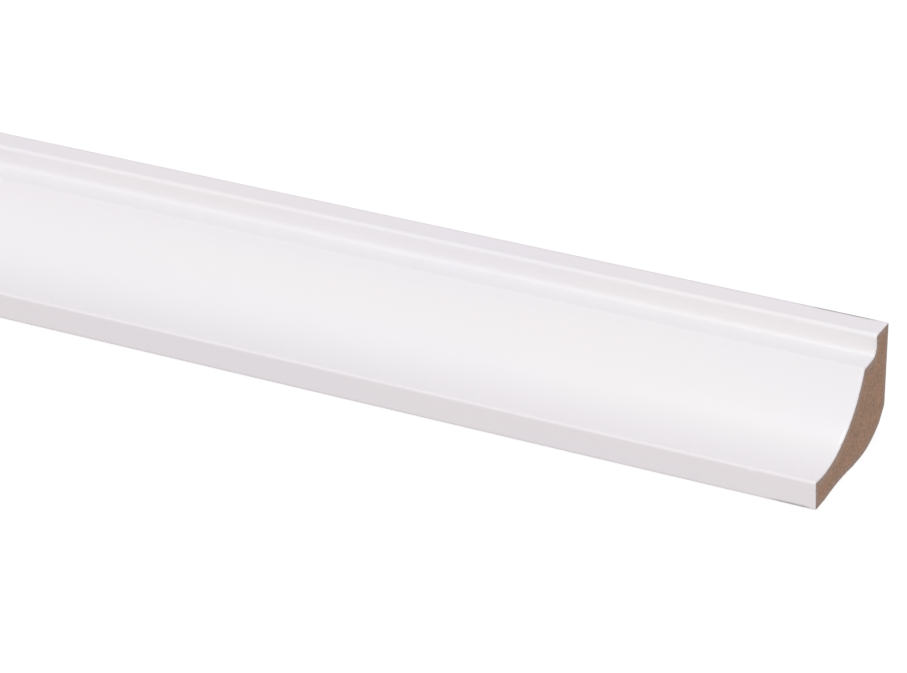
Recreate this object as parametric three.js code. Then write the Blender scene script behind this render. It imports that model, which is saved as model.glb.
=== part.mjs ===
// A length of crown moulding, milled from one board and cut square at both ends.
// Millimetres, +Z up. It lies as it would on a bench: the face that goes against the ceiling is down,
// at Z = 0, and the face that goes against the wall stands upright at the back, at Y = +overallDepth / 2.
// X runs along the moulding. The origin is under the middle of its length and of its depth.
import * as THREE from "three";

const runLength = 350;
const overallDepth = 60; // from the wall face out to the furthest point of the nose
const overallHeight = 40; // from the ceiling face up to the top strip

// The step behind the cove: an upright strip, a hollow fillet at its foot, and a ledge.
const stripDepth = 10.6; // width of the flat top strip, from the wall face
const stepDrop = 7.65; // from the top strip down to the ledge's outer edge
const stepFillet = 2.7;
const ledgeWidth = 9.9; // from the upright strip out to the ledge's sharp edge
const ledgeFall = THREE.MathUtils.degToRad(3); // the ledge falls a little outwards

// The cove, one hollow arc from the ledge's edge down to the nose.
const coveRadius = 36.4;
const noseHeight = 10.55; // top of the front strip, above the ceiling face
const stripLean = THREE.MathUtils.degToRad(5.5); // both upright strips lean back towards their feet

// The three edges that a hand or a brush meets are eased.
const stripEdgeRadius = 1.4;
const ledgeEdgeRadius = 0.6;
const noseRadius = 0.9;

// The back corner is cut away to clear the corner of the room: a chamfer, then a long round to the
// ceiling face.
const backChamfer = { depth: 3.9, height: 4.5 };
const backRound = { depth: 16.8, height: 5.2 };

// The ceiling face bears on two flat lands, with a shallow hollow between them.
const frontLandWidth = 8.2;
const backLandWidth = 6.4;
const hollowDepth = 0.7;

const chordError = 0.004; // how far a chord may stand off the arc that it replaces
const whiteFinish = { color: 0xf1eef0, roughness: 0.42, metalness: 0 };

const wallY = overallDepth / 2;
const point = (y, z) => new THREE.Vector2(y, z);
const angleFromTo = (from, to) => Math.atan2(to.y - from.y, to.x - from.x);
const stripFacing = Math.PI + stripLean;
const ledgeFacing = Math.PI / 2 + ledgeFall;

// The point on a circle in the direction of an angle.
function onCircle(centre, radius, angle) {
  return point(centre.x + radius * Math.cos(angle), centre.y + radius * Math.sin(angle));
}

// Points along an arc from one angle to the other, by the shorter way round.
function arc(centre, radius, startAngle, endAngle) {
  const turn = 2 * Math.PI;
  const sweep = ((endAngle - startAngle + 5 * Math.PI) % turn) - Math.PI;
  const widestStep = 2 * Math.acos(1 - chordError / radius);
  const steps = Math.ceil(Math.abs(sweep) / widestStep);
  const angleAt = (i) => startAngle + (sweep * i) / steps;
  return Array.from({ length: steps + 1 }, (_, i) => onCircle(centre, radius, angleAt(i)));
}

// The point at one distance from a first centre and at another from a second, on the left of the way
// from first to second. An arc about it touches the two circles that those distances allow for.
function centreTouching(first, firstDistance, second, secondDistance) {
  const between = first.distanceTo(second);
  const along = (firstDistance ** 2 - secondDistance ** 2 + between ** 2) / (2 * between);
  const aside = Math.sqrt(firstDistance ** 2 - along ** 2);
  const heading = angleFromTo(first, second);
  return onCircle(onCircle(first, along, heading), aside, heading + Math.PI / 2);
}

// The point at one distance in front of two lines, each given by a point on it and the angle that it faces.
function centreInCorner(first, firstFacing, second, secondFacing, distance) {
  const a = onCircle(point(0, 0), 1, firstFacing);
  const b = onCircle(point(0, 0), 1, secondFacing);
  const fromFirst = distance + a.dot(first);
  const fromSecond = distance + b.dot(second);
  const y = (fromFirst * b.y - fromSecond * a.y) / a.cross(b);
  const z = (fromSecond * a.x - fromFirst * b.x) / a.cross(b);
  return point(y, z);
}

// The front strip, the nose, the cove and the rounded edge of the ledge, from the foot upwards. The
// nose takes two arcs, so that the point between them is the furthest forward and the depth is exact.
function showFace(ledgeEdge) {
  const nose = point(-wallY + noseRadius, noseHeight - noseRadius);
  const cove = centreTouching(nose, coveRadius + noseRadius, ledgeEdge, coveRadius + ledgeEdgeRadius);
  const stripTop = onCircle(nose, noseRadius, stripFacing);
  const foot = point(stripTop.x + stripTop.y * Math.tan(stripLean), 0);
  return [
    foot,
    ...arc(nose, noseRadius, stripFacing, Math.PI),
    ...arc(nose, noseRadius, Math.PI, angleFromTo(nose, cove)),
    ...arc(cove, coveRadius, angleFromTo(cove, nose), angleFromTo(cove, ledgeEdge)),
    ...arc(ledgeEdge, ledgeEdgeRadius, angleFromTo(ledgeEdge, cove), ledgeFacing),
  ];
}

// The hollow fillet above the ledge, the upright strip and its rounded top edge, ending at the wall face.
function step(ledgeEdge) {
  const topEdge = point(wallY - stripDepth + stripEdgeRadius, overallHeight - stripEdgeRadius);
  const onLedge = onCircle(ledgeEdge, ledgeEdgeRadius, ledgeFacing);
  const onStrip = onCircle(topEdge, stripEdgeRadius, stripFacing);
  const fillet = centreInCorner(onLedge, ledgeFacing, onStrip, stripFacing, stepFillet);
  return [
    ...arc(fillet, stepFillet, ledgeFacing - Math.PI, stripLean),
    ...arc(topEdge, stripEdgeRadius, stripFacing, Math.PI / 2),
    point(wallY, overallHeight),
  ];
}

// The cut-away back corner, from the foot of the wall face to where the round meets the ceiling face.
function backCorner() {
  const roundRadius = (backRound.depth ** 2 + backRound.height ** 2) / (2 * backRound.height);
  const centre = point(wallY - backChamfer.depth - backRound.depth, roundRadius);
  const roundTop = point(wallY - backChamfer.depth, backRound.height);
  return [
    point(wallY, backRound.height + backChamfer.height),
    ...arc(centre, roundRadius, angleFromTo(centre, roundTop), -Math.PI / 2),
  ];
}

// The shallow hollow in the ceiling face, between the back land and the front land.
function ceilingHollow(backLandStart, footY) {
  const from = backLandStart - backLandWidth;
  const to = footY + frontLandWidth;
  const halfWidth = (from - to) / 2;
  const radius = (halfWidth ** 2 + hollowDepth ** 2) / (2 * hollowDepth);
  const centre = point((from + to) / 2, hollowDepth - radius);
  return arc(centre, radius, angleFromTo(centre, point(from, 0)), angleFromTo(centre, point(to, 0)));
}

// Drops a point that repeats the one before it, where two arcs touch.
function withoutRepeats(points) {
  const merge = chordError / 10;
  return points.filter((p, i) => i === 0 || p.distanceTo(points[i - 1]) > merge);
}

// The whole outline in the plane across the moulding, with Y to the right and Z up.
function crossSection() {
  const ledgeY = wallY - stripDepth - ledgeWidth;
  const ledgeEdge = point(ledgeY + ledgeEdgeRadius, overallHeight - stepDrop - ledgeEdgeRadius);
  const front = showFace(ledgeEdge);
  const corner = backCorner();
  const hollow = ceilingHollow(corner.at(-1).x, front[0].x);
  return new THREE.Shape(withoutRepeats([...front, ...step(ledgeEdge), ...corner, ...hollow]));
}

// Carries the cross-section along X, centred on the origin.
function mouldingGeometry() {
  const geometry = new THREE.ExtrudeGeometry(crossSection(), { depth: runLength, bevelEnabled: false });
  const acrossAndUp = new THREE.Matrix4().makeBasis(
    new THREE.Vector3(0, 1, 0),
    new THREE.Vector3(0, 0, 1),
    new THREE.Vector3(1, 0, 0),
  );
  return geometry.applyMatrix4(acrossAndUp).translate(-runLength / 2, 0, 0);
}

const moulding = new THREE.Mesh(mouldingGeometry(), new THREE.MeshStandardMaterial(whiteFinish));
moulding.name = "crown_moulding";

const part = new THREE.Group();
part.add(moulding);

export default part;
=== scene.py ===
# %% [markdown]
# # A length of crown moulding
#
# A crown moulding hides the corner between a wall and the ceiling. This one is milled from
# medium density fibreboard, sprayed white on the side that shows, and sawn square. It lies on
# a bench: the face for the ceiling is down, and the face for the wall stands up at the back.
#
# Every step has a few words first and then a short cell of code. Lengths are in metres, and a
# number times mm is in millimetres.

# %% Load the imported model
import bpy
import numpy as np
from mathutils import Matrix, Vector


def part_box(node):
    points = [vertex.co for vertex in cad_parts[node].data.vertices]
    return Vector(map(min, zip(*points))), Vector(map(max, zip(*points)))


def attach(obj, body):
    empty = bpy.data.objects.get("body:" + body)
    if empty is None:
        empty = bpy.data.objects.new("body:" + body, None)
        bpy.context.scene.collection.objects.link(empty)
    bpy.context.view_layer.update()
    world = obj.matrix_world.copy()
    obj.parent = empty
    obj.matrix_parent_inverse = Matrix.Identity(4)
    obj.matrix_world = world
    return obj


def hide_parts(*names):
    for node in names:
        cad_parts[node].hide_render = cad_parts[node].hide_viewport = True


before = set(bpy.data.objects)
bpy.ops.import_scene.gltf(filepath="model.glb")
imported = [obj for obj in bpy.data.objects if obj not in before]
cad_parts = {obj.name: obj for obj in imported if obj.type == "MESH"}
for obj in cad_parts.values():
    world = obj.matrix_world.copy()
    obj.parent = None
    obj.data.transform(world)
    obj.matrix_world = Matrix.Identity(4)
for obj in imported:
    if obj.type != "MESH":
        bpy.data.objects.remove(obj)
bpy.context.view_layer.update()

mm = 0.001
low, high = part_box("crown_moulding")
half_run = high.x
wall_y = high.y
top_z = high.z
print("CAD box in mm:", [round(v / mm, 2) for v in (*low, *high)])

# %% [markdown]
# ## The camera
#
# The photograph was taken with a long lens, so parallel edges stay nearly parallel. A camera
# can be placed by eye, but here it is worked out: the direction it looks in and its distance
# are known, and one corner of the moulding has a known place in the picture. From that corner
# we step sideways and down by the corner's own offset, and then back along the view.

# %% Camera
photo_width = 907
sensor_width = 36.0
focal_length_px = 3999.1
view_distance = 1.292  # along the view, from the camera to the corner
camera_elevation = np.radians(27.171)
camera_azimuth = np.radians(26.594)
camera_roll = np.radians(-0.135)
corner = np.array([high.x, high.y, high.z])  # of the wall face, the top strip and the cut end
corner_right_px, corner_up_px = 435.35, 14.65  # where it lies from the middle of the picture


def view_axes(azimuth, elevation, roll):
    """The camera's right, up and back: spherical angles give back, and roll turns the others."""
    level_back = np.array([np.sin(azimuth), -np.cos(azimuth), 0.0])
    back = np.cos(elevation) * level_back + np.array([0.0, 0.0, np.sin(elevation)])
    level = np.array([np.cos(azimuth), np.sin(azimuth), 0.0])
    upright = np.cross(back, level)
    right = np.cos(roll) * level + np.sin(roll) * upright
    return right, np.cross(back, right), back


right, up, back = view_axes(camera_azimuth, camera_elevation, camera_roll)
step_per_px = view_distance / focal_length_px
camera_at = corner - (corner_right_px * right + corner_up_px * up) * step_per_px + back * view_distance

camera_data = bpy.data.cameras.new("camera")
camera_data.sensor_width = sensor_width
camera_data.lens = focal_length_px * sensor_width / photo_width
camera = bpy.data.objects.new("camera", camera_data)
turned = Matrix(np.column_stack([right, up, back])).to_4x4()
camera.matrix_world = Matrix.Translation(Vector(camera_at)) @ turned
bpy.context.scene.collection.objects.link(camera)
bpy.context.scene.camera = camera
print("camera at", camera_at.round(4), "lens", round(camera_data.lens, 1), "mm")

# %% [markdown]
# ## The cross-section
#
# A moulding is one outline carried along a line, so nearly all of its looks are in the outline.
# It could be drawn by hand as a curve object. Here each side is made from arcs and straight
# runs with the joiner's own measures, because an arc that is worked out keeps its highlight
# clean. In this plane the first number is Y, out from the wall, and the second is Z.

# %% Arcs in the plane of the section
fine_step = 0.04 * mm  # between neighbouring points of an outline before it is thinned


def on_circle(centre, radius, angle):
    """Centre plus radius times cosine and sine of the angle, for one angle or many."""
    return np.asarray(centre) + radius * np.stack([np.cos(angle), np.sin(angle)], axis=-1)


def heading(start, end):
    """The angle of the line from start to end."""
    return np.arctan2(end[1] - start[1], end[0] - start[0])


def arc(centre, radius, start, end):
    """Points on a circle in even steps of angle, from start to end by the shorter way round."""
    sweep = (end - start + 3 * np.pi) % (2 * np.pi) - np.pi
    count = 2 + int(radius * abs(sweep) / fine_step)
    return on_circle(centre, radius, start + sweep * np.linspace(0, 1, count))


def centre_touching(first, first_distance, second, second_distance):
    """The corner of a triangle on first and second, with its two other sides as given.

    Along the base it lies at (a^2 - b^2 + c^2) / 2c, and Pythagoras gives how far aside.
    """
    between = np.hypot(*(np.asarray(second) - first))
    along = (first_distance**2 - second_distance**2 + between**2) / (2 * between)
    aside = np.sqrt(first_distance**2 - along**2)
    towards = heading(first, second)
    return on_circle(on_circle(first, along, towards), aside, towards + np.pi / 2)


def centre_in_corner(first, first_facing, second, second_facing, distance):
    """The point at the same distance in front of two lines, each with a point on it and its facing.

    Being in front of a line by d is one linear equation, p . n = d + p0 . n, and two of them give p.
    """
    facings = on_circle((0, 0), 1, np.array([first_facing, second_facing]))
    offsets = distance + np.array([facings[0] @ first, facings[1] @ second])
    return np.linalg.solve(facings, offsets)


# %% [markdown]
# The side that shows runs from the foot up the front strip, over the nose, along the wide cove
# to the ledge, and by a hollow fillet up to the flat top strip. The front strip and the upright
# one above the ledge both lean back towards their feet, and the ledge falls a little outwards.
# Neighbouring arcs share a tangent, so no edge between them is sharp.

# %% The side that shows
strip_depth = 10.6 * mm
step_drop = 7.65 * mm
step_fillet = 2.7 * mm
ledge_width = 9.9 * mm
ledge_fall = np.radians(3)
cove_radius = 36.4 * mm
nose_height = 10.55 * mm
strip_lean = np.radians(5.5)
strip_edge_radius = 1.4 * mm
ledge_edge_radius = 0.6 * mm
nose_radius = 0.9 * mm


def show_side():
    """The chain of arcs from the foot to the back of the top strip, as an array of points."""
    ledge_start = (wall_y - strip_depth - ledge_width, top_z - step_drop)
    nose = (-wall_y + nose_radius, nose_height - nose_radius)
    ledge_edge = (ledge_start[0] + ledge_edge_radius, ledge_start[1] - ledge_edge_radius)
    strip_edge = (wall_y - strip_depth + strip_edge_radius, top_z - strip_edge_radius)
    past_nose, past_edge = cove_radius + nose_radius, cove_radius + ledge_edge_radius
    cove = centre_touching(nose, past_nose, ledge_edge, past_edge)
    strip_facing = np.pi + strip_lean
    ledge_facing = np.pi / 2 + ledge_fall
    strip_top = on_circle(nose, nose_radius, strip_facing)
    foot = (strip_top[0] + strip_top[1] * np.tan(strip_lean), 0.0)
    on_ledge = on_circle(ledge_edge, ledge_edge_radius, ledge_facing)
    on_strip = on_circle(strip_edge, strip_edge_radius, strip_facing)
    fillet = centre_in_corner(on_ledge, ledge_facing, on_strip, strip_facing, step_fillet)
    return np.vstack([
        [foot],
        arc(nose, nose_radius, strip_facing, heading(nose, cove)),
        arc(cove, cove_radius, heading(cove, nose), heading(cove, ledge_edge)),
        arc(ledge_edge, ledge_edge_radius, heading(ledge_edge, cove), ledge_facing),
        arc(fillet, step_fillet, ledge_facing - np.pi, strip_lean),
        arc(strip_edge, strip_edge_radius, strip_facing, np.pi / 2),
        [(wall_y, top_z)],
    ])


show = show_side()
foot_y = show[0, 0]
print("foot at Y", round(foot_y / mm, 2), "mm;", len(show), "points")

# %% [markdown]
# Nobody sees the other side once the moulding is up, so it is plainer: the upright wall face, a
# chamfer and a long round that clear the corner of the room, and a ceiling face that bears on
# two flat lands with a shallow hollow between them.

# %% The wall side and the ceiling side
back_chamfer = (3.9 * mm, 4.5 * mm)  # depth and height
back_round = (16.8 * mm, 5.2 * mm)
back_land_width = 6.4 * mm
front_land_width = 8.2 * mm
hollow_depth = 0.7 * mm


def bare_sides():
    """The plain faces from the wall face round to the foot, each its own array of points."""
    chamfer_foot = (wall_y - back_chamfer[0], back_round[1])
    chamfer_top = (wall_y, back_round[1] + back_chamfer[1])
    round_radius = (back_round[0]**2 + back_round[1]**2) / (2 * back_round[1])
    round_centre = (chamfer_foot[0] - back_round[0], round_radius)
    hollow_from = (round_centre[0] - back_land_width, 0.0)
    hollow_to = (foot_y + front_land_width, 0.0)
    half_width = (hollow_from[0] - hollow_to[0]) / 2
    hollow_radius = (half_width**2 + hollow_depth**2) / (2 * hollow_depth)
    hollow_centre = ((hollow_from[0] + hollow_to[0]) / 2, hollow_depth - hollow_radius)
    round_to_ceiling = arc(round_centre, round_radius, heading(round_centre, chamfer_foot), -np.pi / 2)
    hollow_start, hollow_end = heading(hollow_centre, hollow_from), heading(hollow_centre, hollow_to)
    return [
        np.array([(wall_y, top_z), chamfer_top]),
        np.array([chamfer_top, chamfer_foot]),
        np.vstack([round_to_ceiling, [hollow_from]]),
        arc(hollow_centre, hollow_radius, hollow_start, hollow_end),
        np.array([hollow_to, (foot_y, 0.0)]),
    ]


sides = [show, *bare_sides()]
corner_reach = np.array([0.8, 0.6, 0.6, 0.5, 0.5, 0.8]) * mm  # what each side gives up to its corners
print(len(sides), "sides meet in", len(corner_reach), "corners")

# %% [markdown]
# Milled board has no razor edges. Each corner between two sides is eased: both sides are cut
# back a little, and a small curve joins them with the corner itself as its handle.

# %% Ease the corners and close the loop


def walked(path):
    """How far one has walked along a path on reaching each of its points."""
    return np.concatenate([[0.0], np.cumsum(np.hypot(*np.diff(path, axis=0).T))])


def walk(path, distances):
    """The points of a path at the given distances along it."""
    gone = walked(path)
    return np.stack([np.interp(distances, gone, path[:, axis]) for axis in (0, 1)], axis=-1)


def eased_loop(sides, reaches):
    """Sides and corner curves in turn, as a list of arrays that follow one another.

    A corner C is cut back to A and B, and its curve is (1-t)^2 A + 2t(1-t) C + t^2 B.
    """
    t = np.linspace(0, 1, 25)[1:-1, None]
    runs = []
    for i, side in enumerate(sides):
        length = walked(side)[-1]
        count = 2 + int(length / fine_step)
        run = walk(side, np.linspace(reaches[i - 1], length - reaches[i], count))
        following = walk(sides[(i + 1) % len(sides)], reaches[i])
        runs += [run, (1 - t)**2 * run[-1] + 2 * t * (1 - t) * side[-1] + t**2 * following]
    return runs


runs = eased_loop(sides, corner_reach)
outline = np.vstack([runs[-1], *runs, runs[0][:1]])
starts = np.cumsum([len(run) for run in [runs[-1], *runs]])  # the foot's corner comes first and last
gone = walked(outline) - walked(outline)[starts[0]]  # 0 where the front strip leaves the foot's corner
show_end = gone[starts[1] - 1]
bare_start = gone[starts[2]]
bare_end = gone[starts[-2] - 1]
whole = gone[-1]
print("round the section:", round(whole / mm, 1), "mm, of which", round(show_end / mm, 1), "show")

# %% [markdown]
# The mesh needs points close together where the outline turns and far apart where it is
# straight. So distance along the outline is traded for effort: distance plus a bit for every
# radian turned. Equal steps of effort give a good spacing. The same table gives the outward
# direction at any place.

# %% Outward directions and good spacing
turn_weight = 4 * mm  # how many metres of walking a radian of turning counts for

tangent = np.gradient(outline, gone, axis=0)
tangent /= np.hypot(*tangent.T)[:, None]
outward = np.column_stack([-tangent[:, 1], tangent[:, 0]])
bearing = np.unwrap(np.arctan2(tangent[:, 1], tangent[:, 0]))
effort = gone + turn_weight * np.concatenate([[0.0], np.cumsum(np.abs(np.diff(bearing)))])


def spread(start, end, count):
    """Distances along the outline from start to end, in equal steps of effort."""
    return np.interp(np.linspace(*np.interp([start, end], gone, effort), count), effort, gone)


def outline_at(distance):
    """Point and outward direction of the outline at any distances, as (..., 2) arrays."""
    place = np.stack([np.interp(distance, gone, outline[:, axis]) for axis in (0, 1)], axis=-1)
    facing = np.stack([np.interp(distance, gone, outward[:, axis]) for axis in (0, 1)], axis=-1)
    return place, facing


show_effort = float(np.interp(show_end, gone, effort))
print("effort from the foot to the top strip's end:", round(show_effort, 3))

# %% [markdown]
# ## Board and finish
#
# The real thing is a board with a coat of paint little more than a tenth of a millimetre thick.
# One mesh with two materials would show the colours, but not the coat's own edge at the saw cut.
# So the board and the coat are two pieces: the coat's outside is the outline, and the board lies
# under it.

# %% How deep the board lies under the outline
coat = 0.14 * mm
show_easing, bare_easing = 0.8 * mm, 0.15 * mm  # radii of the edges at the saw cut
nick_x, nick_y, nick_z = 153.6 * mm, -30.0 * mm, 9.9 * mm  # an old knock on the nose, near the cut
nick_depth, nick_half_length, nick_half_width = 0.25 * mm, 1.2 * mm, 0.6 * mm
bead_depth, bead_half_width, bead_at = 0.35 * mm, 0.5 * mm, -0.5 * mm  # paint gathered at the foot

nick_at = gone[np.argmin(np.hypot(outline[:, 0] - nick_y, outline[:, 1] - nick_z))]


def smooth(x):
    """The curve 3x^2 - 2x^3, which rises from 0 to 1 and is level at both ends."""
    x = np.clip(x, 0, 1)
    return x * x * (3 - 2 * x)


def share_of_coat(distance):
    """1 on the show side, 0 on the bare sides, and fading over the two corners between them."""
    distance = distance % whole
    at_top = smooth((bare_start - distance) / (bare_start - show_end))
    at_foot = smooth((distance - bare_end) / (whole - bare_end))
    return np.where(distance < bare_end, at_top, at_foot)


def under_coat(distance):
    """Coat thickness: its share of the full one, with a bead at the foot."""
    past_bead = (distance + whole / 2) % whole - whole / 2 - bead_at
    bead = bead_depth * np.exp(-(past_bead / bead_half_width)**2)
    return coat * share_of_coat(distance) + bead


def rubbed_down(x, distance):
    """How far in the surface lies near a cut: r - sqrt(r^2 - s^2), with x at s into the last r."""
    radius = bare_easing + (show_easing - bare_easing) * share_of_coat(distance)
    into = np.clip(np.abs(x) - (half_run - radius), 0, radius)
    return radius - np.sqrt(radius**2 - into**2)


def nick(x, distance):
    """A rounded dent: its depth falls off as a bell along the moulding and across it."""
    bell = ((x - nick_x) / nick_half_length)**2 + ((distance - nick_at) / nick_half_width)**2
    return nick_depth * np.exp(-bell)


print("the nick is", round(nick_at / mm, 1), "mm up from the foot")

# %% [markdown]
# The board is a tube with two lids. The tube carries the outline along X, and close to each lid
# it shrinks in a quarter round, as the saw's burr has been rubbed down there, most on the side
# that shows. The stations along X stand closer together near the ends and near the nick.

# %% Stations along the moulding
crowding = 1.6  # 1 would space the stations evenly, and more crowds them towards the ends
board_stations, coat_stations, nick_stations, edge_stations = 61, 81, 25, 9


def stations(half, count):
    """Places along X from -half to half: half times 1 - (1 - share)^crowding.

    The nick gets more of them, out to three times its half length.
    """
    share = np.linspace(-1, 1, count)
    spaced = half * np.sign(share) * (1 - (1 - np.abs(share))**crowding)
    at_nick = nick_x + nick_half_length * np.linspace(-3, 3, nick_stations)
    return np.unique(np.concatenate([spaced, at_nick]))


quarter = np.linspace(0, np.pi / 2, edge_stations + 1)[1:]
body_x = stations(half_run - show_easing, board_stations)
edge_x = half_run - show_easing + show_easing * np.sin(quarter)
board_x = np.concatenate([-edge_x[::-1], body_x, edge_x])
print(len(board_x), "stations along the board")

# %% [markdown]
# A mesh is a list of points and a list of faces. The next helpers take both as arrays, mark
# every face smooth, and link the object at the origin, with its place in its mesh.

# %% From arrays to a mesh


def make_piece(name, points, quads, marks):
    """A smooth mesh object from (n, 3) points, (m, 4) point numbers and named values at the points."""
    mesh = bpy.data.meshes.new(name)
    mesh.vertices.add(len(points))
    mesh.vertices.foreach_set("co", points.astype(np.float32).ravel())
    mesh.loops.add(quads.size)
    mesh.loops.foreach_set("vertex_index", quads.astype(np.int32).ravel())
    mesh.polygons.add(len(quads))
    mesh.polygons.foreach_set("loop_start", np.arange(0, quads.size, 4, dtype=np.int32))
    mesh.polygons.foreach_set("use_smooth", np.ones(len(quads), dtype=bool))
    for mark, values in marks.items():
        attribute = mesh.attributes.new(mark, "FLOAT", "POINT")
        attribute.data.foreach_set("value", values.astype(np.float32).ravel())
    mesh.update(calc_edges=True)
    piece = bpy.data.objects.new(name, mesh)
    bpy.context.scene.collection.objects.link(piece)
    return piece


def sheet_quads(numbers):
    """The quads between neighbours in a grid of point numbers."""
    corners = [numbers[:-1, :-1], numbers[:-1, 1:], numbers[1:, 1:], numbers[1:, :-1]]
    return np.stack(corners, axis=-1).reshape(-1, 4)


def pressed(x, distance, depth):
    """Points at x and at a distance along the outline, pressed in against the outward direction.

    The three arrays share a shape, (stations, places), after broadcasting.
    """
    x, distance, depth = np.broadcast_arrays(x, distance, depth)
    place, facing = outline_at(distance)
    return np.concatenate([x[..., None], place - depth[..., None] * facing], axis=-1)


# %% [markdown]
# The lid on each end has four edges: the show side, the bare side, and the two eased corners
# between them. A Coons patch fills them: it blends the long edges, adds what the short edges
# bulge, and takes the corners off once, as they were counted twice.

# %% A lid between four edges
show_count, corner_count = 210, 26

ring_d = np.concatenate([
    spread(0.0, show_end, show_count),
    spread(show_end, bare_start, corner_count)[1:],
    spread(bare_start, bare_end, show_count)[1:],
    spread(bare_end, whole, corner_count)[1:-1],
])
at_top = show_count - 1  # where the ring's four stretches begin
at_bare = at_top + corner_count - 1
at_foot = at_bare + show_count - 1
lid_shape = (show_count, corner_count)


def lid_edges(ring):
    """The four edges of a lid from its ring: show and bare from the foot up, foot and top across."""
    closed = np.concatenate([ring, ring[:1]])
    show_edge, bare_edge = ring[:show_count], closed[at_bare:at_foot + 1][::-1]
    foot_edge, top_edge = closed[at_foot:][::-1], ring[at_top:at_bare + 1]
    return show_edge, bare_edge, foot_edge, top_edge


def coons(show_edge, bare_edge, foot_edge, top_edge):
    """(1-v) show + v bare + (1-u) foot + u top, less the same blend of the four corners.

    v follows half a cosine wave, which puts more of the lid's points beside its long edges.
    """
    u = np.linspace(0, 1, show_count)[:, None, None]
    v = (0.5 - 0.5 * np.cos(np.linspace(0, np.pi, corner_count)))[None, :, None]
    across = (1 - v) * show_edge[:, None] + v * bare_edge[:, None]
    upwards = (1 - u) * foot_edge[None] + u * top_edge[None]
    return across + upwards - (1 - u) * across[:1] - u * across[-1:]


def lid_numbers(ring_numbers, first_inside):
    """The grid of a lid's point numbers: the ring's round its rim, and new ones inside."""
    numbers = np.zeros(lid_shape, dtype=int)
    numbers[:, 0], numbers[:, -1], numbers[0], numbers[-1] = lid_edges(ring_numbers)
    inside = first_inside + np.arange((show_count - 2) * (corner_count - 2))
    numbers[1:-1, 1:-1] = inside.reshape(show_count - 2, corner_count - 2)
    return numbers


print("one ring has", len(ring_d), "points, one lid", lid_shape)

# %% [markdown]
# Three values go with each point for the paint later on: whether it is on a saw cut, how near it
# is to the rim of the cut, where the fibres are squeezed and soaked, and how near it is to the
# sprayed side, where a little white mist settles on bare board.

# %% The board
rim_width = 1.9 * mm
mist_reach = 2.2 * mm


def board_mesh():
    """Points, quads and marks of the board: rings, then the insides of the left and right lids."""
    dent = nick(board_x[:, None], ring_d) + rubbed_down(board_x[:, None], ring_d)
    tube = pressed(board_x[:, None], ring_d, under_coat(ring_d) + dent)
    numbers = np.arange(tube.shape[0] * tube.shape[1]).reshape(tube.shape[:2])
    points, quads, near_rim = [tube.reshape(-1, 3)], [], []
    for end in (0, -1):
        lid = coons(*lid_edges(tube[end]))[1:-1, 1:-1].reshape(-1, 3)
        grid = lid_numbers(numbers[end], sum(map(len, points)))
        quads.append(sheet_quads(grid if end else grid[:, ::-1]))
        away = lid[:, None, 1:] - tube[end, None, :, 1:]
        to_ring = np.hypot(away[..., 0], away[..., 1]).min(axis=1)
        near_rim.append(np.exp(-(to_ring / rim_width)**2))
        points.append(lid)
    quads.append(sheet_quads(np.concatenate([numbers, numbers[:, :1]], axis=1))[:, ::-1])
    past_coat = np.maximum(np.where(ring_d < bare_end, ring_d - show_end, whole - ring_d), 0)
    # The sawn look reaches round the worn edges only where they are wide, on the side that shows.
    on_cut = (np.abs(board_x) > half_run - bare_easing)[:, None] * share_of_coat(ring_d)
    on_cut[[0, -1]] = 1.0
    misted = np.exp(-past_coat / mist_reach) * (1 - on_cut)
    inside_lids = np.ones(2 * len(lid))
    marks = {
        "saw_cut": np.concatenate([on_cut.ravel(), inside_lids]),
        "rim": np.concatenate([np.ones(tube.shape[:2]).ravel(), *near_rim]),
        "mist": np.concatenate([misted.ravel(), 0 * inside_lids]),
    }
    return np.concatenate(points), np.concatenate(quads), marks


board = make_piece("moulding_board", *board_mesh())
print("board:", len(board.data.vertices), "points,", len(board.data.polygons), "quads")

# %% [markdown]
# ## The white finish
#
# The coat is a thin shell. Its outside is the outline itself, and its inside lies on the board.
# Paint isn't cut as cleanly as board: its edges at the saw cut are a little ragged, and along
# the two corners where the spray stopped they wander. Sums of sine waves with seeded phases make
# these wandering lines, so that every run gives the same ones.

# %% Wandering edges
draw = np.random.default_rng(7)
shorter, lower, usual_sum = 0.7, 0.8, 1.6


def wander(t, longest, waves=9):
    """A smooth random line about 0, of size about 1: a sum of sine waves over its usual size.

    Each wave is shorter than the one before it by a fixed factor, and lower by another.
    """
    lengths = longest * shorter**np.arange(waves)
    phases = draw.uniform(0, 2 * np.pi, waves)
    heights = draw.normal(0, 1, waves) * lower**np.arange(waves)
    turns = np.asarray(t)[..., None] / lengths
    return (heights * np.sin(2 * np.pi * turns + phases)).sum(axis=-1) / usual_sum


def edge_pull(distance_from_edge, reach):
    """How strongly an edge's own wandering moves a point near it: 1 at the edge, 0 past its reach."""
    return 1 - smooth(distance_from_edge / reach)


print("five values of a wandering line:", wander(np.linspace(0, 0.1, 5), 0.05).round(2))
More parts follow.
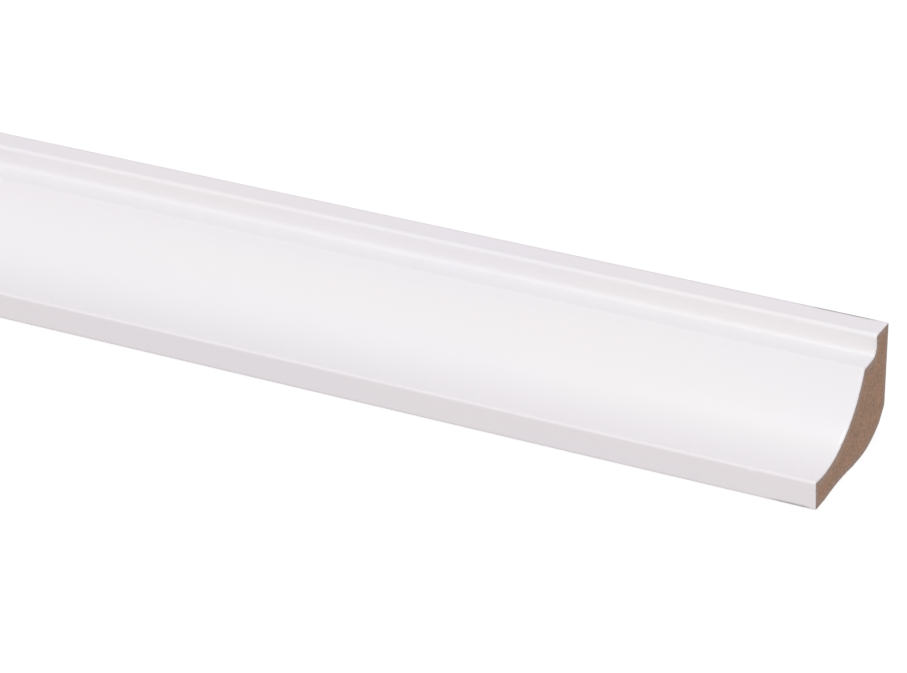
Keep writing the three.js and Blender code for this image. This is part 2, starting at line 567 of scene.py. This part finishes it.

# %% [markdown]
# A thin grey line lies along both long edges of the coat. Along most of the length it is faint, and it
# is painted shade at the two arrises. Near the cut end it is dark, where hands and racks have worn the
# edges grubby. A narrow band over the nose is darker and rosier, and it is painted shade that dims the
# nose highlight. Both go with the points as marks.

# %% The coat
coat_count = 230
gap = 0.01 * mm  # between the inside of the coat and the board
lap = 0.95 * mm  # how far the coat goes round the two corners
lap_wander = 0.05 * mm
top_edge_line_at, top_edge_line_width = 0.15 * mm, 0.5 * mm  # past the end of the top strip
foot_edge_line_at, foot_edge_line_width = -0.4 * mm, 0.45 * mm  # below the foot of the front strip
nose_shade_above, nose_shade_half_width = 0.6 * mm, 0.7 * mm  # of the band of painted shade on the nose highlight, past the front strip's top
cut_setback, cut_wander, least_setback = 0.1 * mm, 0.03 * mm, 0.01 * mm  # of the coat, from the cut
chip_depth, chip_from = 0.3 * mm, 1.1  # a chip opens where a wandering line about 0 goes past 1.1
edge_reach = 3 * mm
foot_wave, top_wave, chip_wave, cut_wave = 60 * mm, 50 * mm, 9 * mm, 4 * mm  # each line's longest wave
faint_edge_shade = 0.12  # along most of both edges
top_dark_from, foot_dark_from, dark_to = 142 * mm, 158 * mm, 174 * mm  # the dark stretches, along X


def edge_shade_and_grime(x, distance):
    """How dark the grey line is, from 0 to 1: painted shade at both long edges along most of the
    length, and grime near the cut. A bell across each long edge times its strength along X.
    """
    # The faint level is painted shade at the arrises; the dark stretches near the cut are grime.
    along_top = faint_edge_shade + 0.1 * smooth(x / (140 * mm))
    along_top += 0.78 * smooth((x - top_dark_from) / (12 * mm))
    along_top *= smooth((dark_to - x) / (7 * mm))
    dark_foot = smooth((x - foot_dark_from) / (8 * mm)) * smooth((dark_to - x) / (3 * mm))
    along_foot = faint_edge_shade + (1 - faint_edge_shade) * dark_foot
    over_top = np.exp(-((distance - show_end - top_edge_line_at) / top_edge_line_width)**2)
    under_foot = np.exp(-((distance - foot_edge_line_at) / foot_edge_line_width)**2)
    return along_top * over_top + along_foot * under_foot


def coat_mesh():
    """Points, quads and marks of the shell: an outer and an inner sheet, and strips that join them."""
    d = spread(-lap, show_end + lap, coat_count)[None, :]
    x = np.unique(np.concatenate([stations(half_run, coat_stations), edge_x, -edge_x]))[:, None]
    start = lap_wander * wander(x, foot_wave) * edge_pull(d + lap, edge_reach)
    stop = lap_wander * wander(x, top_wave) * edge_pull(show_end + lap - d, edge_reach)
    d_moved = d + start - stop
    along_cut = d + (x < 0) * whole
    chips = np.maximum(wander(along_cut, chip_wave) - chip_from, 0) * chip_depth
    back_off = cut_setback + cut_wander * wander(along_cut, cut_wave) + chips
    set_back = np.maximum(back_off, least_setback) * edge_pull(half_run - np.abs(x), edge_reach)
    x_moved = x - np.sign(x) * set_back
    dent = nick(x_moved, d_moved) + rubbed_down(x_moved, d_moved)
    outer = pressed(x_moved, d_moved, dent)
    inner = pressed(x_moved, d_moved, dent + np.maximum(under_coat(d_moved) - gap, gap))
    numbers = np.arange(2 * x_moved.size).reshape(2, *x_moved.shape)
    around = np.concatenate([numbers[0], numbers[1][:, ::-1], numbers[0][:, :1]], axis=1)
    quads = [sheet_quads(around)[:, ::-1]]
    for end, turn in ((0, 1), (-1, -1)):
        quads.append(sheet_quads(numbers[:, end])[:, ::turn])
    # A narrow band of painted shade, centred on the nose highlight.
    nose_highlight_shade = np.exp(-((d_moved - nick_at - nose_shade_above) / nose_shade_half_width)**2)
    # The grey edge lines: painted shade at the arrises, and grime near the cut.
    shaded_and_grubby = edge_shade_and_grime(x_moved, d_moved)
    marks = {"edge_shade_and_grime": np.tile(shaded_and_grubby.ravel(), 2), "nose_highlight_shade": np.tile(nose_highlight_shade.ravel(), 2)}
    return np.concatenate([outer.reshape(-1, 3), inner.reshape(-1, 3)]), np.concatenate(quads), marks


finish = make_piece("white_finish", *coat_mesh())
print("coat:", len(finish.data.vertices), "points,", len(finish.data.polygons), "quads")

# %% [markdown]
# ## Finishes
#
# The imported record names two finishes. The colours of both are made with nodes, from noise on Object
# coordinates, so that they stay with the piece.

# %% Helpers for nodes


def new_material(name):
    """A material with its node tree and the shader that it starts with."""
    material = bpy.data.materials.new(name)
    material.use_nodes = True
    return material, material.node_tree, material.node_tree.nodes["Principled BSDF"]


def add_node(tree, kind, inputs, **settings):
    """Adds a node. Inputs are named or numbered sockets, each with a value or with what feeds it."""
    node = tree.nodes.new("ShaderNode" + kind)
    for setting, value in settings.items():
        setattr(node, setting, value)
    for socket, value in inputs.items():
        if isinstance(value, bpy.types.NodeSocket):
            tree.links.new(value, node.inputs[socket])
        else:
            node.inputs[socket].default_value = value
    return node


def object_place(tree, stretch):
    """Object coordinates multiplied by stretch: below 1 draws a pattern out along that axis."""
    place = add_node(tree, "TexCoord", {}).outputs["Object"]
    return add_node(tree, "Mapping", {"Vector": place, "Scale": stretch}).outputs["Vector"]


def noise(tree, place, scale, detail=3.0, roughness=0.5):
    """Noise about 0.5, with scale patches to the metre."""
    inputs = {"Vector": place, "Scale": scale, "Detail": detail, "Roughness": roughness}
    return add_node(tree, "TexNoise", inputs).outputs["Fac"]


def product(tree, first, second):
    """first times second."""
    return add_node(tree, "Math", {0: first, 1: second}, operation="MULTIPLY").outputs[0]


def remap(tree, value, low, high, to_low, to_high):
    """Carries low to to_low and high to to_high in a straight line, and holds it there beyond."""
    inputs = {"Value": value, "From Min": low, "From Max": high, "To Min": to_low, "To Max": to_high}
    return add_node(tree, "MapRange", inputs).outputs["Result"]


def mix_colours(tree, share, first, second):
    """first at share 0 and second at share 1."""
    inputs = {0: share, 6: first, 7: second}
    return add_node(tree, "Mix", inputs, data_type="RGBA").outputs[2]


def point_mark(tree, mark):
    """A value that the mesh carries at its points."""
    return add_node(tree, "Attribute", {}, attribute_name=mark).outputs["Fac"]


# %% [markdown]
# The white is a satin primer. Close up it isn't one white: it drifts between a cooler and a
# warmer tone. The coat has a faint orange-peel skin from the spray gun, and faint lines along the
# length from the machine that drew the board past it. Both are a bump, far too low for the mesh.

# %% White satin coat
cool_white = (0.876, 0.860, 0.882, 1)
warm_white = (0.884, 0.862, 0.874, 1)
# A darker, rosier white: painted shade that dims the nose highlight.
nose_shade_white = (0.864, 0.830, 0.860, 1)
# The grey of the edge lines: painted shade at the arrises, and grime near the cut.
shade_and_grime_grey = (0.25, 0.245, 0.24, 1)
drift_scale, shade_and_grime_scale, sheen_scale, peel_scale, drawn_scale = 45, 300, 160, 420, 400  # per metre
least_rough, most_rough = 0.285, 0.315
skin_relief = 0.004 * mm
paint_ior = 1.62


def white_satin():
    """Two whites and the marks make the colour, and a second noise the sheen. The marks are painted
    shade, a band on the nose highlight and lines at the long edges, which turn to grime near the cut.
    """
    material, tree, shader = new_material("white_satin_coat")
    even = object_place(tree, (1, 1, 1))
    drift = noise(tree, object_place(tree, (0.15, 1, 1)), drift_scale, detail=0)
    paint = mix_colours(tree, remap(tree, drift, 0.35, 0.65, 0, 1), cool_white, warm_white)
    # A band of painted shade over the nose highlight.
    paint = mix_colours(tree, point_mark(tree, "nose_highlight_shade"), paint, nose_shade_white)
    # The grey edge lines: painted shade at the arrises, and grime near the cut end.
    uneven = remap(tree, noise(tree, even, shade_and_grime_scale), 0.3, 0.6, 0.7, 1)
    shaded_and_grubby = product(tree, point_mark(tree, "edge_shade_and_grime"), uneven)
    tree.links.new(mix_colours(tree, shaded_and_grubby, paint, shade_and_grime_grey), shader.inputs["Base Color"])
    sheen = noise(tree, object_place(tree, (0.3, 1, 1)), sheen_scale, detail=0)
    rough = remap(tree, sheen, 0.3, 0.7, least_rough, most_rough)
    tree.links.new(rough, shader.inputs["Roughness"])
    peel = noise(tree, even, peel_scale, detail=1)
    drawn = noise(tree, object_place(tree, (0.02, 1, 1)), drawn_scale, detail=1)
    relief = add_node(tree, "Math", {0: peel, 1: drawn}, operation="ADD").outputs[0]
    bump = add_node(tree, "Bump", {"Height": relief, "Strength": 0.5, "Distance": skin_relief})
    tree.links.new(bump.outputs["Normal"], shader.inputs["Normal"])
    shader.inputs["IOR"].default_value = paint_ior
    return material


finish.data.materials.append(white_satin())
print("finish:", finish.data.materials[0].name, len(finish.data.materials[0].node_tree.nodes), "nodes")

# %% [markdown]
# Fibreboard is wood ground to felt and pressed. On a saw cut it shows short matted fibres, some
# darker and some paler, over patches where the felt is a little redder or greyer. The rim of the
# cut is greyer, as the paint has soaked in there.

# %% Bare fibreboard
red_felt = (0.505, 0.312, 0.197, 1)
grey_felt = (0.380, 0.262, 0.174, 1)
dark_fibre = (0.27, 0.175, 0.115, 1)
pale_fibre = (0.60, 0.43, 0.30, 1)
soaked_felt = (0.430, 0.348, 0.285, 1)
sprayed_mist = (0.74, 0.72, 0.72, 1)
patch_scale, fibre_scale, speck_scale = 230, 1000, 2600  # per metre
most_fibre, most_mist = 0.8, 0.9  # how far the fibres and the mist can cover the felt
felt_roughness, felt_shine = 0.85, 0.25
fibre_relief = 0.06 * mm


def bare_fibreboard():
    """Felt of two colours, and over it the soaked rim, dark and pale fibres, and specks of mist."""
    material, tree, shader = new_material("bare_fibreboard")
    even = object_place(tree, (1, 1, 1))
    patches = noise(tree, even, patch_scale, detail=4, roughness=0.6)
    felt = mix_colours(tree, remap(tree, patches, 0.35, 0.65, 0, 1), red_felt, grey_felt)
    soaked = product(tree, point_mark(tree, "saw_cut"), point_mark(tree, "rim"))
    felt = mix_colours(tree, soaked, felt, soaked_felt)
    matted = noise(tree, even, fibre_scale, detail=5, roughness=0.65)
    felt = mix_colours(tree, remap(tree, matted, 0.5, 0.3, 0, most_fibre), felt, dark_fibre)
    felt = mix_colours(tree, remap(tree, matted, 0.5, 0.7, 0, most_fibre), felt, pale_fibre)
    specks = product(tree, point_mark(tree, "mist"), noise(tree, even, speck_scale, detail=2))
    felt = mix_colours(tree, remap(tree, specks, 0.12, 0.5, 0, most_mist), felt, sprayed_mist)
    tree.links.new(felt, shader.inputs["Base Color"])
    shader.inputs["Roughness"].default_value = felt_roughness
    shader.inputs["Specular IOR Level"].default_value = felt_shine
    bump = add_node(tree, "Bump", {"Height": matted, "Strength": 0.5, "Distance": fibre_relief})
    tree.links.new(bump.outputs["Normal"], shader.inputs["Normal"])
    return material


board.data.materials.append(bare_fibreboard())
print("board:", board.data.materials[0].name, len(board.data.materials[0].node_tree.nodes), "nodes")

# %% [markdown]
# ## The pieces on the imported body
#
# Both pieces ride on the imported model's one body, and its one solid is hidden in their place.

# %% Ties to the imported model
for piece, slot in ((board, "bare_board"), (finish, "white_finish")):
    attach(piece, "root")
    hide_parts("crown_moulding")
print("pieces:", [piece.name for piece in (board, finish)])

# %% [markdown]
# ## Floor and light
#
# The studio is white all round, and the floor is a plain pale sheet. A matt floor would be grey
# under these lamps, and a glowing one would light the front strip too much from below. So its
# glow has two strengths: what the camera sees is near white, and what falls on the moulding is
# less, and faintly rosy like the world. From underneath, the floor is clear, so that the ceiling
# face can be looked at as well.

# %% Floor
floor_half = 6.0
floor_drop = 0.2 * mm
floor_grey = 0.15
glow_on_moulding, glow_to_camera = 0.413, 0.90
rosy_white, white = (1, 0.904, 0.972, 1), (1, 1, 1, 1)


def pale_floor():
    """A square sheet with a matt face that glows, and a back that is clear."""
    square = np.array([(-1, -1, 0), (1, -1, 0), (1, 1, 0), (-1, 1, 0)])
    corners = floor_half * square - (0, 0, floor_drop)
    floor = make_piece("floor", corners, np.array([[0, 1, 2, 3]]), {})
    material, tree, shader = new_material("pale_floor")
    shader.inputs["Base Color"].default_value = (floor_grey, floor_grey, floor_grey, 1)
    shader.inputs["Roughness"].default_value = 1.0
    shader.inputs["Specular IOR Level"].default_value = 0.0
    seen = add_node(tree, "LightPath", {}).outputs["Is Camera Ray"]
    glow = remap(tree, seen, 0, 1, glow_on_moulding, glow_to_camera)
    tree.links.new(glow, shader.inputs["Emission Strength"])
    tree.links.new(mix_colours(tree, seen, rosy_white, white), shader.inputs["Emission Color"])
    underneath = add_node(tree, "NewGeometry", {}).outputs["Backfacing"]
    clear = add_node(tree, "BsdfTransparent", {}).outputs[0]
    both = add_node(tree, "MixShader", {0: underneath, 1: shader.outputs[0], 2: clear}).outputs[0]
    tree.links.new(both, tree.nodes["Material Output"].inputs["Surface"])
    floor.data.materials.append(material)
    return floor


pale_floor()
print("floor", round(-floor_drop / mm, 2), "mm below the ceiling face")

# %% [markdown]
# Two soft square lamps light it. The one overhead gives the bright band low in the cove and the
# thin one in the fillet, because those are the places that mirror it towards the camera. The one
# low in front, beside the camera, fills the upright faces. The pale world does the rest. The lamps
# stand six metres off, so that their light is even along the length. It is faintly green and the
# world's is rosy: together they make white, and each face takes its own share of the two.
#
# Blender's usual view transform, AgX, rolls bright light off softly, and would turn these whites
# grey. The plain one, Standard, shows them as bright as the photograph does.

# %% Lamps and world
lamp_distance = 6.0
world_colour, world_strength = (1.0, 0.889, 0.972, 1), 0.642


def soft_lamp(name, towards, width, power, colour):
    """A square lamp in the direction towards, turned to face the moulding."""
    data = bpy.data.lights.new(name, "AREA")
    data.size = width
    data.energy = power
    data.color = colour
    lamp = bpy.data.objects.new(name, data)
    away = Vector(towards).normalized()
    lamp.location = away * lamp_distance
    lamp.rotation_euler = away.to_track_quat("Z", "Y").to_euler()
    bpy.context.scene.collection.objects.link(lamp)
    return lamp


overhead_lamp = soft_lamp(
    "overhead_lamp", towards=(0, 0, 1), width=1.65, power=98.1, colour=(0.81, 1.0, 0.91)
)
front_lamp = soft_lamp(
    "front_lamp", towards=(0.255, -0.951, 0.174), width=4.2, power=165.6, colour=(0.91, 1.0, 0.88)
)
world = bpy.data.worlds.new("white_studio")
world.use_nodes = True
background = world.node_tree.nodes["Background"]
background.inputs["Color"].default_value = world_colour
background.inputs["Strength"].default_value = world_strength
bpy.context.scene.world = world
bpy.context.scene.view_settings.view_transform = "Standard"
print("lamps:", [lamp.name for lamp in (overhead_lamp, front_lamp)])
